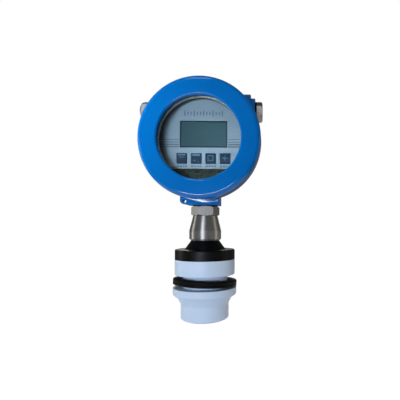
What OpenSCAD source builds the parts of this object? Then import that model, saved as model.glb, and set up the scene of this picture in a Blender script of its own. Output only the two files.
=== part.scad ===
// Ultrasonic level sensor: a cast display head on a threaded sensor.
// Millimetres. The origin is the centre of the sensing face, +Z runs up the stem
// and the display faces -Y.

/* [Sensor body] */
// Outside diameter of the threaded neck
neck_d = 48; // [46:0.5:49]
// Length of the neck below the collar
neck_h = 48.1; // [46:0.1:60]
// Diameter of the collar and of the cap's brim
collar_d = 63.7; // [58:0.5:68]
// Height of the collar
collar_h = 16.1; // [12:0.1:24]
// Rounding of the edges of the white pieces
white_round = 1; // [0.3:0.1:1.2]
// Inside diameter of the sensor body
sensor_bore_d = 41; // [36:0.5:42]
// Thickness of the closed sensing face
membrane_t = 3; // [2:0.1:4]
// Thickness of the acoustic matching layer
matching_t = 5; // [3:0.1:7]
// Diameter of the piezo disc
piezo_d = 35; // [25:0.5:35]
// Thickness of the piezo disc
piezo_t = 8; // [4:0.1:10]
// Height of the damping block above the piezo disc
damping_h = 34; // [24:0.5:35]
// Temperature probe diameter
probe_d = 4.2; // [3:0.1:5]
// Temperature probe length
probe_h = 14; // [10:0.5:20]
// How deep the temperature probe sits in the damping block
probe_sink = 12; // [8:0.5:13]
// Distance from the sensor's bore wall to the temperature probe's middle
probe_inset = 7.5; // [5:0.1:9]

/* [Mounting nut and sealing ring] */
// Outside diameter of the nut's sleeve
sleeve_d = 51; // [51:0.5:56]
// Height of the nut's lower edge above the sensing face
sleeve_lift = 1; // [0.5:0.1:3]
// Diameter of the nut's flange
flange_d = 67.6; // [62:0.1:76]
// Thickness of the flange
flange_h = 8.7; // [6:0.1:10]
// Height of the flange's upper face above the sensing face
flange_top = 34.4; // [33:0.1:35]
// Height of the cone that joins the flange to the sleeve
flange_cone_h = 8.6; // [4:0.1:10]
// Width of the cone under the flange
flange_cone_w = 4.6; // [3:0.1:6]
// How far the loose sealing ring stands out past the flange
ring_over = 0.1; // [-3:0.1:4]
// Thickness of the sealing ring
ring_h = 6.6; // [4:0.1:7]
// Lean of the loose sealing ring, in degrees
ring_tilt = 3.6; // [0:0.1:3.6]
// Direction in which the loose sealing ring leans down
ring_turn = 45; // [0:1:90]
// Play between the sealing ring and the neck, per side
ring_play = 0.9; // [0.7:0.05:1.2]

/* [Cap and stem] */
// Height of the brim up to its shoulder
brim_h = 10.6; // [9:0.1:16]
// Rounding of the brim's upper edge
brim_round = 1.2; // [0.5:0.1:4]
// Diameter of the cap's cone where it leaves the brim
cap_cone_d = 43.4; // [40:0.1:52]
// Diameter of the cap's upper face
cap_top_d = 29; // [28:0.1:36]
// Height of the cap's cone
cap_cone_h = 10; // [6:0.1:14]
// Diameter of the adapter's lower band
adapter_d = 33.9; // [32:0.1:38]
// Height of the adapter's lower band
adapter_band_h = 9.8; // [6:0.1:14]
// Height of the adapter's taper
adapter_taper_h = 16.2; // [10:0.1:24]
// Diameter of the adapter where the taper ends under the nut
adapter_top_d = 26; // [24:0.1:27]
// Diameter of the stem thread
stem_thread_d = 20; // [18:0.5:22]
// Diameter of the cable way through the stem
stem_bore_d = 10; // [8:0.5:12]
// Width across flats of the lock nut
nut_flats = 26.2; // [26:0.5:30]
// Height of the lock nut
nut_h = 9.9; // [7:0.1:12]
// Thickness of the washer between nut and housing
neck_washer_t = 0.9; // [0.6:0.1:1.5]

/* [Housing] */
// Height of the neck block that shows below the cover
block_show = 4.3; // [4:0.1:8]
// Step from the glass pocket out to the housing's bore
bore_step = 1.3; // [1:0.1:2]
// Wall thickness of the drum
drum_wall = 4; // [3:0.1:5]
// Height of the threaded bead above the drum
bead_h = 2.7; // [2:0.1:4]
// Length of the bead that shows behind the cover
bead_show = 2.5; // [1:0.1:3]
// Depth of the drum behind the stem axis
drum_back = 41; // [38:0.5:50]
// Rounding of the drum's back edge
drum_round = 14; // [8:0.5:18]
// Rounding of the cavity's back edge
cavity_round = 8; // [4:0.5:12]
// Rounding of small cast edges
edge_round = 1; // [0.5:0.1:1.5]
// Width of the neck block
block_w = 34; // [30:0.5:36]
// Depth of the neck block in front of the stem axis
block_front = 14.4; // [12:0.1:14.5]
// Reach of the tag ear from the stem axis
ear_reach = 24; // [24:0.5:30]
// Thickness of the tag ear
ear_t = 8; // [5:0.5:10]
// Height of the tag ear
ear_h = 18; // [14:0.5:20]
// Rounding of the tag ear's corner
ear_round = 4; // [2:0.5:5]
// Step from the housing's lower face up to the ear
ear_step = 0.8; // [0:0.1:1.5]
// Distance of the tag hole from the ear's end
tag_hole_edge = 4.8; // [4:0.1:7]
// Diameter of the hole in the tag ear
tag_hole_d = 3.6; // [2.5:0.1:4]
// Height of the tag hole above the housing's lower face
tag_hole_rise = 3.9; // [3.5:0.1:6]
// Diameter of the set screw in the neck block
set_screw_d = 4; // [3:0.5:5]
// Height of the set screw above the housing's lower face
set_screw_rise = 2.6; // [2.5:0.1:6]

/* [Cable entries] */
// Distance of the entry axis below the drum's top
entry_drop = 13.4; // [11:0.1:14]
// Distance of the entry axis behind the stem axis
entry_back = 6; // [5.5:0.1:8]
// Diameter of the cross tube
cross_tube_d = 37; // [34:0.5:40]
// How far the cross tube ends short of the round case's side
cross_tube_back = 3.5; // [0:0.1:4]
// Diameter of the entry bosses
entry_boss_d = 29; // [26:0.5:32]
// How far the entry bosses stand out past the round case
entry_show = 1.3; // [1.3:0.1:6]
// Diameter of the entry thread
entry_thread_d = 16; // [16:0.5:18]
// Length of the thread in an entry
entry_bore_h = 34.5; // [30:0.5:40]
// Length of the gland's threaded stub
gland_stub_h = 14; // [10:0.5:16]
// Length of the gland's hexagon collar
gland_collar_h = 5.2; // [4:0.1:8]
// Diameter of the gland's outer thread
gland_thread_d = 14.8; // [14.4:0.1:15.2]
// Length of the gland's outer thread
gland_thread_h = 6.5; // [5:0.1:8]
// Outside diameter of the gland seal
gland_seal_d = 11.8; // [11:0.1:12.2]
// Length of the gland seal
gland_seal_h = 7.6; // [6:0.1:9]
// Thickness of the gland cap's end wall
gland_cap_end = 3.1; // [3:0.1:6]
// Diameter of the gland cap's flat end
gland_cap_face_d = 11.6; // [10:0.1:14]
// Thickness of the washer under the gland
gland_washer_t = 1; // [0.6:0.1:1.5]
// Width across flats of gland and plug
gland_flats = 19; // [19:0.1:22]
// Diameter of the cable passage in the gland seal
cable_d = 8; // [5:0.5:8.5]
// Thickness of the washer under the blind plug
plug_washer_t = 1.6; // [1:0.1:2.5]
// Height of the blind plug's head
plug_head_h = 6.3; // [5:0.1:9]
// Chamfer at the outer corners of the blind plug
plug_chamfer = 2.6; // [1:0.1:3]
// Turn of the blind plug, in degrees
plug_turn = 10; // [-15:1:15]
// Length of the blind plug's threaded stub
plug_stub_h = 12; // [8:0.5:14]
// Diameter of the washers on the entries
entry_washer_d = 21.6; // [20:0.1:24]

/* [Screw cover] */
// Depth of the screw cover
cover_h = 24; // [22:0.1:24]
// Wall of the cover's skirt
skirt_wall = 5.5; // [4:0.1:8]
// Length of thread that the cover and the bead share
thread_grip = 9.6; // [8:0.1:10]
// Diameter of the cover seal's cord
seal_cord = 2; // [1.6:0.1:2.4]
// Distance of the cover's front face from the stem axis
cover_front = 39; // [38.5:0.1:40]
// Rounding of the cover's outer edge
cover_round = 4.5; // [2:0.1:6]
// Diameter of the window opening
window_d = 82; // [76:0.5:92]
// Thickness of the lip that holds the glass
lip_t = 4; // [3:0.1:4.5]
// Rounding of the lip
lip_round = 2.2; // [1:0.1:2.5]
// Width of the glass's seat around the window
glass_overlap = 5.5; // [4:0.1:7]
// Thickness of the window glass
glass_t = 6; // [5:0.1:6.5]
// Thickness of the gasket in front of the glass
gasket_t = 1; // [0.6:0.1:1.2]
// Width of the glass retaining ring's seat on the glass
retainer_w = 4.6; // [1.5:0.1:5]
// Width of the two driver slots in the ring behind the glass
retainer_slot = 2; // [1.5:0.1:3]
// Depth of the glass retaining ring
retainer_t = 3.6; // [2:0.1:3.8]

/* [Display] */
// Distance of the faceplate behind the cover's front
plate_depth = 22; // [21:0.1:23]
// Width of the faceplate that lies behind the window's edge
plate_margin = 4.4; // [3:0.1:5]
// Thickness of the faceplate
plate_t = 1.5; // [1:0.1:2]
// Distance of the faceplate's straight edge below its centre
plate_cut = 27.8; // [27:0.1:30]
// Width of the display opening
lcd_w = 48.8; // [44:0.2:50]
// Height of the display opening
lcd_h = 27.4; // [24:0.2:28]
// Height of the display's centre above the plate's centre
lcd_rise = 7.6; // [7.6:0.1:10]
// Sideways place of the display and the keys
panel_x = 1.2; // [-1.5:0.1:1.5]
// Width of a key
key_w = 10.7; // [9:0.1:11.5]
// Distance from key to key
key_pitch = 14.8; // [14.2:0.1:15.4]
// Distance of the keys below the plate's centre
key_drop = 17.4; // [16:0.1:17.5]
// Travel of a key
key_travel = 0.6; // [0.3:0.1:0.7]
// Rounding of a key's corners
key_round = 0.9; // [0.3:0.1:2]
// Height of a key above the faceplate
key_proud = 1.2; // [0.8:0.1:2]
// Width of the rim that keeps a key behind the plate
key_rim = 1; // [0.6:0.1:1.2]
// Thickness of that rim
key_rim_t = 1.6; // [1:0.1:1.8]
// Width of the display's dark frame
lcd_frame_w = 1.2; // [0.8:0.1:2]
// Width of a key switch
switch_w = 6; // [4.5:0.1:6.5]

/* [Boards] */
// Thickness of a board
board_t = 1.6; // [1:0.1:2]
// Gap between a board's edge and the housing's bore
board_gap = 4.5; // [3.5:0.1:6]
// Distance of the display board behind the faceplate
board_drop = 5; // [5:0.1:7]
// Distance of the display board's straight edge below its centre
board_cut = 40; // [36:0.5:42]
// Distance of the main board's face behind the stem axis
main_back = 16.4; // [15:0.1:18]
// Width across flats of spacers and standoffs
standoff_flats = 5.5; // [4.5:0.1:6]
// Sideways place of the lower standoffs
post_low_x = 33; // [32:0.5:35]
// Distance of the lower standoffs below the centre
post_low_y = 20; // [18:0.5:22]
// Sideways place of the upper standoffs
post_high_x = 26; // [22:0.5:27]
// Distance of the upper standoffs above the centre
post_high_y = 31; // [29:0.5:32]
// Diameter of the housing's board posts
post_d = 8; // [6:0.5:9]
// Diameter of the thread in a board post
post_bore_d = 2.5; // [2:0.1:3]
// Distance from terminal to terminal
terminal_pitch = 5.6; // [5:0.1:6]
// Number of terminals
terminal_count = 6; // [2:1:6]
// Height of the terminal block
terminal_h = 11; // [9:0.5:12]
// Depth of the terminal block
terminal_depth = 13; // [11:0.5:15]
// Distance from the case's inner wall to the terminal block
terminal_edge = 17; // [16:0.5:18]
// Diameter of a terminal's wire hole
terminal_hole_d = 3.4; // [2.5:0.1:3.6]
// Diameter of a terminal screw
terminal_screw_d = 3.3; // [2.5:0.1:3.6]
// Width of the pulse transformer
transformer_w = 16; // [12:0.5:18]
// Height of the pulse transformer
transformer_h = 18; // [14:0.5:20]
// Depth of the pulse transformer
transformer_depth = 13; // [10:0.5:16]
// Diameter of a capacitor
capacitor_d = 9.2; // [8:0.1:10]
// Length of a capacitor
capacitor_h = 14; // [10:0.5:18]
// Distance from capacitor to capacitor
capacitor_pitch = 12; // [11:0.5:13]
// Sideways place of the capacitors
capacitor_x = 19; // [17:0.5:20]
// Width of the header between the boards
header_w = 6; // [5:0.5:7]
// Height of the header between the boards
header_h = 22; // [16:0.5:24]
// Sideways place of the header
header_x = 20; // [18:0.5:22]
// Width of the sensor socket
socket_w = 12; // [8:0.5:14]
// Height of the sensor socket
socket_h = 6.8; // [5:0.1:8]
// Depth of the sensor socket
socket_depth = 5; // [4:0.1:6]
// Diameter of the sensor cable
sensor_cable_d = 4; // [3:0.1:5]
// Bend radius of the sensor cable
cable_bend = 9; // [7:0.5:10]

/* [Clearances] */
// Running gap between parts that turn or slide on each other, per side
run_gap = 0.3; // [0.2:0.05:0.35]
// Gap between parts that are screwed or pushed together, per side
fit_gap = 0.08; // [0.05:0.01:0.12]

/* [Hidden] */
$fn = 96;
trim = 0.5;
neck_r = neck_d / 2;
collar_top = neck_h + collar_h;
sensor_r = sensor_bore_d / 2;
shoulder_z = collar_top + brim_h;
cap_top = shoulder_z + cap_cone_h;
taper_z = cap_top + adapter_band_h;
nut_z = taper_z + adapter_taper_h;
washer_z = nut_z + nut_h;
neck_z = washer_z + neck_washer_t;
thread_r = stem_thread_d / 2;
stud_reach = 10;
nut_bore_r = neck_r + run_gap;
ring_r = neck_r + ring_play;
ring_d = flange_d + 2 * ring_over;
ring_lift = ring_d / 2 * sin(ring_tilt) + 0.05;
glass_r = window_d / 2 + glass_overlap;
pocket_gap = 0.2;
pocket_r = glass_r + pocket_gap;
cavity_r = pocket_r + bore_step;
drum_r = cavity_r + drum_wall;
bead_r = drum_r + bead_h;
skirt_r = bead_r + run_gap;
cover_r = skirt_r + skirt_wall;
head_rise = cover_r + block_show;
head_z = neck_z + head_rise;
cavity_back = drum_back - drum_wall - edge_round;
cover_back = cover_front - cover_h;
rim_f = cover_back + thread_grip;
shoulder_f = rim_f + 2 * run_gap;
bead_back = cover_back - bead_show;
seal_r = (bead_r + cavity_r) / 2;
seal_slack = 0.4;
lip_f = cover_front - lip_t;
glass_f = lip_f - gasket_t - glass_t;
retainer_r = glass_r - retainer_w;
entry_rise = drum_r - entry_drop;
entry_reach = drum_r + entry_show;
cross_tube_reach = drum_r - cross_tube_back;
plate_r = window_d / 2 + plate_margin;
plate_f = cover_front - plate_depth;
plate_b = plate_f - plate_t;
board_f = plate_b - board_drop;
board_b = board_f - board_t;
board_r = cavity_r - board_gap;
terminal_drop = cavity_r - terminal_edge;
main_f = -main_back;
main_b = main_f - board_t;
key_rim_f = plate_b - run_gap;
key_back = key_rim_f - key_rim_t;
lcd_seat = plate_b - run_gap;
post_spots = [[post_low_x, -post_low_y], [-post_low_x, -post_low_y],
    [post_high_x, post_high_y], [-post_high_x, post_high_y]];
gland_hex_r = gland_flats / sqrt(3);
gland_collar_a = gland_washer_t;
gland_thread_a = gland_collar_a + gland_collar_h;
gland_cap_a = gland_thread_a + 0.5;
gland_seat_a = gland_thread_a + 1.2;
gland_floor_a = gland_seat_a + gland_seal_h + run_gap;
gland_end_a = gland_floor_a + gland_cap_end;
nut_corner_r = nut_flats / sqrt(3);
damping_top = membrane_t + matching_t + piezo_t + damping_h;
cable_turn_y = -cavity_r + 3;

// Places its children in the head: x to the right, y up, z forward along the head's axis
module in_head() {
    translate([0, 0, head_z]) rotate([90, 0, 0]) children();
}

// Places its children on a cable entry with z outward; side is 1 for right and -1 for left
module on_entry(side) {
    in_head() translate([0, entry_rise, -entry_back]) rotate([0, side * 90, 0]) children();
}

// Places its children on a boss's end face with z outward
module on_boss(side) {
    on_entry(side) translate([0, 0, entry_reach]) children();
}

// Trims a profile's outer corner at [x, y] to an arc; sx and sy say which way the corner points
module round_off(x, y, r, sx, sy) {
    translate([x - sx * r, y - sy * r]) difference() {
        translate([sx > 0 ? 0 : -r - trim, sy > 0 ? 0 : -r - trim]) square(r + trim);
        circle(r);
    }
}

// Fills a profile's inner corner at [x, y] with an arc; sx and sy say which way the corner opens
module fill_in(x, y, r, sx, sy) {
    translate([x, y]) difference() {
        translate([sx > 0 ? 0 : -r, sy > 0 ? 0 : -r]) square(r);
        translate([sx * r, sy * r]) circle(r);
    }
}

// A rectangle from radius r0 to r1 and from height z0 to z1
module band(r0, r1, z0, z1) {
    translate([r0, z0]) square([r1 - r0, z1 - z0]);
}

// A hexagon bar with a flat towards +y after a turn of 30 degrees
module hex_bar(flats, h) {
    cylinder(r = flats / sqrt(3), h = h, $fn = 6);
}

// Housing: one casting with the drum, its threaded bead, the cross tube, the neck block and the ear

module drum_profile() {
    difference() {
        union() {
            band(0, drum_r, -drum_back, rim_f);
            band(0, bead_r, bead_back, rim_f);
            polygon([[0, bead_back - bead_h], [drum_r, bead_back - bead_h],
                [bead_r, bead_back], [0, bead_back]]);
        }
        round_off(drum_r, -drum_back, drum_round, 1, -1);
        round_off(bead_r, rim_f, edge_round, 1, 1);
    }
}

module cavity_profile() {
    difference() {
        band(0, cavity_r, -cavity_back, rim_f + trim);
        round_off(cavity_r, -cavity_back, cavity_round, 1, -1);
    }
}

module neck_plan() {
    difference() {
        circle(block_w / 2);
        translate([-block_w, -block_w]) square([2 * block_w, block_w]);
    }
    translate([-block_w / 2, -block_front]) square([block_w, block_front + trim]);
}

module tag_ear() {
    translate([0, -block_front + ear_t, 0]) rotate([90, 0, 0]) linear_extrude(ear_t) difference() {
        translate([-ear_reach, neck_z + ear_step]) square([ear_reach, ear_h]);
        round_off(-ear_reach, neck_z + ear_step, ear_round, -1, -1);
        translate([-ear_reach + tag_hole_edge, neck_z + tag_hole_rise]) circle(d = tag_hole_d);
    }
}

// A bar along the entry axis with rounded ends
module cross_bar(d, reach) {
    on_entry(1) translate([0, 0, -reach]) rotate_extrude() difference() {
        band(0, d / 2, 0, 2 * reach);
        round_off(d / 2, 0, edge_round, 1, -1);
        round_off(d / 2, 2 * reach, edge_round, 1, 1);
    }
}

module housing() {
    color("#0A66C2") {
        difference() {
            union() {
                in_head() rotate_extrude() drum_profile();
                cross_bar(cross_tube_d, cross_tube_reach);
                cross_bar(entry_boss_d, entry_reach);
                translate([0, 0, neck_z]) linear_extrude(head_rise / 2) neck_plan();
                tag_ear();
            }
            in_head() rotate_extrude() cavity_profile();
            for (side = [-1, 1]) {
                on_boss(side) translate([0, 0, -entry_bore_h])
                    cylinder(d = entry_thread_d, h = entry_bore_h + trim);
            }
            translate([0, 0, neck_z - trim]) cylinder(r = thread_r + fit_gap, h = head_rise / 2);
            translate([0, 0, neck_z + set_screw_rise]) rotate([-90, 0, 0])
                cylinder(d = set_screw_d, h = block_w / 2 + trim);
        }
        in_head() for (p = post_spots) {
            translate([p[0], p[1], -cavity_back - trim]) difference() {
                cylinder(d = post_d, h = main_b + cavity_back + trim);
                translate([0, 0, post_d / 2]) cylinder(d = post_bore_d, h = main_b + cavity_back);
            }
        }
    }
}

// Screw cover with its seal, gasket, glass and retaining ring

module front_cover() {
    color("#0A66C2") in_head() rotate_extrude() difference() {
        union() {
            band(window_d / 2, cover_r, lip_f, cover_front);
            band(pocket_r, cover_r, shoulder_f, lip_f);
            band(skirt_r, cover_r, cover_back, shoulder_f);
        }
        round_off(cover_r, cover_front, cover_round, 1, 1);
        round_off(window_d / 2, cover_front, lip_round, -1, 1);
        round_off(cover_r, cover_back, edge_round, 1, -1);
        band(seal_r - seal_cord / 2 - seal_slack, seal_r + seal_cord / 2 + seal_slack,
            shoulder_f - trim, shoulder_f + seal_cord);
    }
}

module cover_o_ring() {
    color("#161616") in_head() rotate_extrude()
        translate([seal_r, shoulder_f + seal_cord / 2 - run_gap]) circle(d = seal_cord);
}

module window_gasket() {
    color("#161616") in_head() rotate_extrude()
        band(window_d / 2 + run_gap, glass_r, lip_f - gasket_t, lip_f);
}

module window_glass() {
    color("#DDEAEA") in_head() rotate_extrude() difference() {
        band(0, glass_r, glass_f, glass_f + glass_t);
        round_off(glass_r, glass_f + glass_t, gasket_t / 2, 1, 1);
        round_off(glass_r, glass_f, gasket_t / 2, 1, -1);
    }
}

module glass_retainer() {
    color("#B9BDC1") in_head() difference() {
        rotate_extrude() band(retainer_r, pocket_r - fit_gap, glass_f - retainer_t, glass_f);
        for (turn = [0, 180]) rotate([0, 0, turn]) {
            translate([retainer_r + retainer_w / 2, -retainer_slot / 2, glass_f - retainer_t - trim])
                cube([retainer_w, retainer_slot, retainer_t / 2 + trim]);
        }
    }
}

// Display: faceplate, panel, keys and the board behind them

module faceplate() {
    color("#AEB6C4") in_head() translate([0, 0, plate_b]) linear_extrude(plate_t) difference() {
        circle(plate_r);
        translate([-plate_r - trim, -plate_cut - plate_r]) square([2 * plate_r + 2 * trim, plate_r]);
        translate([panel_x - lcd_w / 2, lcd_rise - lcd_h / 2]) square([lcd_w, lcd_h]);
        for (i = [1:4]) translate([key_x(i), -key_drop]) key_plan(run_gap);
    }
}

module lcd_frame() {
    frame_t = plate_t + fit_gap;
    color("#20263E") in_head() translate([panel_x, lcd_rise, lcd_seat]) linear_extrude(frame_t) difference() {
        square([lcd_w - 2 * fit_gap, lcd_h - 2 * fit_gap], center = true);
        square([lcd_w - 2 * lcd_frame_w, lcd_h - 2 * lcd_frame_w], center = true);
    }
}

module lcd_panel() {
    pane = [lcd_w - 2 * lcd_frame_w - 2 * fit_gap, lcd_h - 2 * lcd_frame_w - 2 * fit_gap];
    back = [lcd_w + 2 * lcd_frame_w, lcd_h + 2 * lcd_frame_w];
    color("#445A62") in_head() translate([panel_x, lcd_rise, 0]) {
        translate([-back[0] / 2, -back[1] / 2, board_f]) cube([back[0], back[1], lcd_seat - board_f]);
        translate([-pane[0] / 2, -pane[1] / 2, board_f])
            cube([pane[0], pane[1], plate_b - board_f + plate_t / 2]);
    }
}

function key_x(i) = (i - 2.5) * key_pitch + panel_x;

// The outline of a key, or of its opening with a gap around it
module key_plan(gap) {
    w = key_w / 2 + gap;
    r = key_round + gap;
    difference() {
        square(2 * w, center = true);
        for (sx = [-1, 1]) for (sy = [-1, 1]) round_off(sx * w, sy * w, r, sx, sy);
    }
}

module key(i) {
    color("#24407E") in_head() translate([key_x(i), -key_drop, key_back]) {
        linear_extrude(plate_f + key_proud - key_back) key_plan(0);
        linear_extrude(key_rim_t) key_plan(key_rim);
    }
}

module key_1() { key(1); }
module key_2() { key(2); }
module key_3() { key(3); }
module key_4() { key(4); }

module key_switches() {
    reach = key_back - key_travel - 2 * fit_gap - board_f;
    color("#2A2A2A") in_head() for (i = [1:4]) translate([key_x(i), -key_drop, board_f]) {
        translate([-switch_w / 2, -switch_w / 2, 0]) cube([switch_w, switch_w, reach * 0.7]);
        cylinder(d = switch_w / 2, h = reach);
    }
}

module plate_spacers() {
    color("#B08D4A") in_head() for (p = post_spots) translate([p[0], p[1], board_f]) {
        hex_bar(standoff_flats, plate_b - board_f);
    }
}

module display_board() {
    color("#1F5A2C") in_head() translate([0, 0, board_b]) linear_extrude(board_t) difference() {
        circle(board_r);
        translate([-board_r - trim, -board_cut - board_r]) square([2 * board_r + 2 * trim, board_r]);
    }
}

module board_header() {
    color("#1B1B1B") in_head() translate([-header_x - header_w / 2, -header_h / 2, main_f]) {
        cube([header_w, header_h, board_b - main_f]);
    }
}

module board_standoffs() {
    color("#B08D4A") in_head() for (p = post_spots) translate([p[0], p[1], main_f]) {
        hex_bar(standoff_flats, board_b - main_f);
    }
}

module main_board() {
    color("#1F5A2C") in_head() translate([0, 0, main_b]) cylinder(r = board_r, h = board_t);
}

function terminal_x(i) = (i - (terminal_count + 1) / 2) * terminal_pitch;

module terminal_block() {
    width = (terminal_count + 0.4) * terminal_pitch;
    color("#2F7D45") in_head() translate([0, -terminal_drop, main_f]) difference() {
        translate([-width / 2, 0, 0]) cube([width, terminal_h, terminal_depth]);
        for (i = [1:terminal_count]) translate([terminal_x(i), 0, 0]) {
            translate([0, -trim, terminal_depth / 3]) rotate([-90, 0, 0])
                cylinder(d = terminal_hole_d, h = terminal_h * 0.7 + trim);
            translate([0, terminal_h / 2, terminal_depth / 3]) {
                cylinder(d = terminal_screw_d + 2 * fit_gap, h = terminal_depth);
            }
        }
    }
}

module terminal_screws() {
    rise = terminal_depth / 3 + terminal_hole_d / 2;
    color("#B9BDC1") in_head() for (i = [1:terminal_count]) {
        translate([terminal_x(i), -terminal_drop + terminal_h / 2, main_f + rise]) difference() {
            cylinder(d = terminal_screw_d, h = terminal_depth - rise - 1);
            translate([-terminal_screw_d, -0.3, terminal_depth - rise - 1.8])
                cube([2 * terminal_screw_d, 0.6, 2]);
        }
    }
}

module pulse_transformer() {
    w = transformer_w;
    h = transformer_h;
    foot = transformer_depth * 0.3;
    color("#3A3A3A") in_head() translate([-w / 2 - 2, -h / 2 + 2, main_f]) {
        cube([w, h, foot]);
        translate([w * 0.2, 0, 0]) cube([w * 0.6, h, transformer_depth]);
        translate([0, h * 0.22, 0]) cube([w, h * 0.56, transformer_depth - foot / 2]);
    }
}

module board_capacitors() {
    color("#24262C") in_head() for (i = [-1:1]) translate([capacitor_x, i * capacitor_pitch + 6, main_f]) {
        rotate_extrude() difference() {
            band(0, capacitor_d / 2, 0, capacitor_h);
            round_off(capacitor_d / 2, capacitor_h, edge_round, 1, 1);
        }
    }
}

module sensor_socket() {
    color("#E4E2DA") in_head() translate([-socket_w / 2, cable_turn_y + cable_bend - socket_h / 2, main_f]) {
        cube([socket_w, socket_h, socket_depth]);
    }
}

module sensor_cable() {
    color("#1D1D1D") {
        translate([0, 0, damping_top]) cylinder(d = sensor_cable_d, h = head_z + cable_turn_y - damping_top);
        in_head() translate([0, cable_turn_y, -cable_bend]) rotate([0, -90, 0])
            rotate_extrude(angle = 90) translate([cable_bend, 0]) circle(d = sensor_cable_d);
        in_head() translate([0, cable_turn_y + cable_bend, main_f + socket_depth])
            cylinder(d = sensor_cable_d, h = main_back - socket_depth - cable_bend);
    }
}

// Cable gland on the left and blind plug on the right

// A profile for trimming a hexagon's corners at the end at height z; way is 1 for an upper end
module corner_trim(z, way, cut) {
    far = gland_hex_r + 2;
    polygon([[gland_hex_r - cut, z + way * trim], [far, z - way * cut], [far, z + way * trim]]);
}

module gland_body() {
    color("#C9CCD0") on_boss(-1) difference() {
        union() {
            translate([0, 0, -gland_stub_h])
                cylinder(d = entry_thread_d - 2 * fit_gap, h = gland_stub_h + gland_thread_a);
            intersection() {
                translate([0, 0, gland_collar_a]) rotate([0, 0, 30]) hex_bar(gland_flats, gland_collar_h);
                rotate_extrude() difference() {
                    band(0, gland_flats, 0, gland_thread_a);
                    corner_trim(gland_thread_a, 1, edge_round);
                }
            }
            cylinder(d = gland_thread_d, h = gland_thread_a + gland_thread_h);
        }
        translate([0, 0, -gland_stub_h - trim])
            cylinder(d = cable_d + 2 * trim, h = gland_stub_h + gland_end_a);
        translate([0, 0, gland_seat_a - run_gap]) cylinder(d = gland_seal_d + 2 * run_gap, h = gland_end_a);
    }
}

module gland_washer() {
    color("#161616") on_boss(-1) rotate_extrude() {
        band(entry_thread_d / 2 + fit_gap, entry_washer_d / 2, 0, gland_washer_t);
    }
}

module gland_seal() {
    color("#1A1A1A") on_boss(-1) translate([0, 0, gland_seat_a]) rotate_extrude() {
        band(cable_d / 2, gland_seal_d / 2, 0, gland_seal_h);
    }
}

module gland_cap() {
    face_r = gland_cap_face_d / 2;
    color("#C9CCD0") on_boss(-1) difference() {
        intersection() {
            translate([0, 0, gland_cap_a]) rotate([0, 0, 30]) hex_bar(gland_flats, gland_end_a - gland_cap_a);
            rotate_extrude() difference() {
                band(0, gland_flats, 0, gland_end_a);
                polygon([[face_r, gland_end_a + trim], [face_r + 4, gland_end_a - 2.6],
                    [face_r + 6.7, gland_end_a - 5.4], [gland_flats, gland_end_a + trim]]);
                corner_trim(gland_cap_a, -1, edge_round);
            }
        }
        cylinder(d = gland_thread_d + 2 * run_gap, h = gland_floor_a);
        cylinder(d = cable_d + 2 * trim, h = gland_end_a + trim);
    }
}

module blind_plug() {
    plug_end = plug_washer_t + plug_head_h;
    color("#C9CCD0") on_boss(1) {
        translate([0, 0, -plug_stub_h])
            cylinder(d = entry_thread_d - 2 * fit_gap, h = plug_stub_h + plug_end / 2);
        intersection() {
            translate([0, 0, plug_washer_t]) rotate([0, 0, 30 + plug_turn]) hex_bar(gland_flats, plug_head_h);
            rotate_extrude() difference() {
                band(0, gland_flats, 0, plug_end);
                corner_trim(plug_end, 1, plug_chamfer);
            }
        }
    }
}

module plug_washer() {
    color("#161616") on_boss(1) rotate_extrude() difference() {
        band(entry_thread_d / 2 + fit_gap, entry_washer_d / 2, 0, plug_washer_t);
        round_off(entry_washer_d / 2, plug_washer_t, plug_washer_t / 3, 1, 1);
    }
}

// Stem: set screw, washer, lock nut and adapter

module neck_set_screw() {
    length = block_w / 2 - thread_r - 1;
    color("#6E747B") translate([0, thread_r + 2 * fit_gap, neck_z + set_screw_rise]) rotate([-90, 0, 0])
    difference() {
        cylinder(d = set_screw_d - 2 * fit_gap, h = length);
        translate([0, 0, length / 2]) hex_bar(set_screw_d / 2, length);
    }
}

module neck_washer() {
    color("#161616") translate([0, 0, washer_z]) rotate_extrude()
        band(thread_r + fit_gap, nut_flats / 2 - run_gap, 0, neck_washer_t);
}

module lock_nut() {
    color("#C9CCD0") translate([0, 0, nut_z]) difference() {
        intersection() {
            rotate([0, 0, 13]) hex_bar(nut_flats, nut_h);
            rotate_extrude() difference() {
                band(0, nut_corner_r + 1, 0, nut_h);
                polygon([[nut_flats / 2 - 0.2, -0.1], [nut_corner_r + 2, -0.1], [nut_corner_r + 2, 2.1]]);
                polygon([[nut_flats / 2 - 0.2, nut_h + 0.1], [nut_corner_r + 2, nut_h + 0.1],
                    [nut_corner_r + 2, nut_h - 2.1]]);
            }
        }
        translate([0, 0, -1]) cylinder(r = thread_r + fit_gap, h = nut_h + 2);
    }
}

module stem_adapter() {
    color("#C9CCD0") rotate_extrude() difference() {
        union() {
            band(0, thread_r, cap_top - stud_reach, neck_z + 13);
            band(0, adapter_d / 2, cap_top, taper_z);
            polygon([[0, taper_z], [adapter_d / 2, taper_z], [adapter_top_d / 2, nut_z], [0, nut_z]]);
        }
        polygon([[adapter_d / 2 - 1.2, cap_top - 0.1], [adapter_d / 2 + 0.1, cap_top - 0.1],
            [adapter_d / 2 + 0.1, cap_top + 1.2]]);
        band(-1, stem_bore_d / 2, cap_top - stud_reach - 1, neck_z + 14);
    }
}

// Sensor: cap, body and the pieces sealed in it

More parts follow.
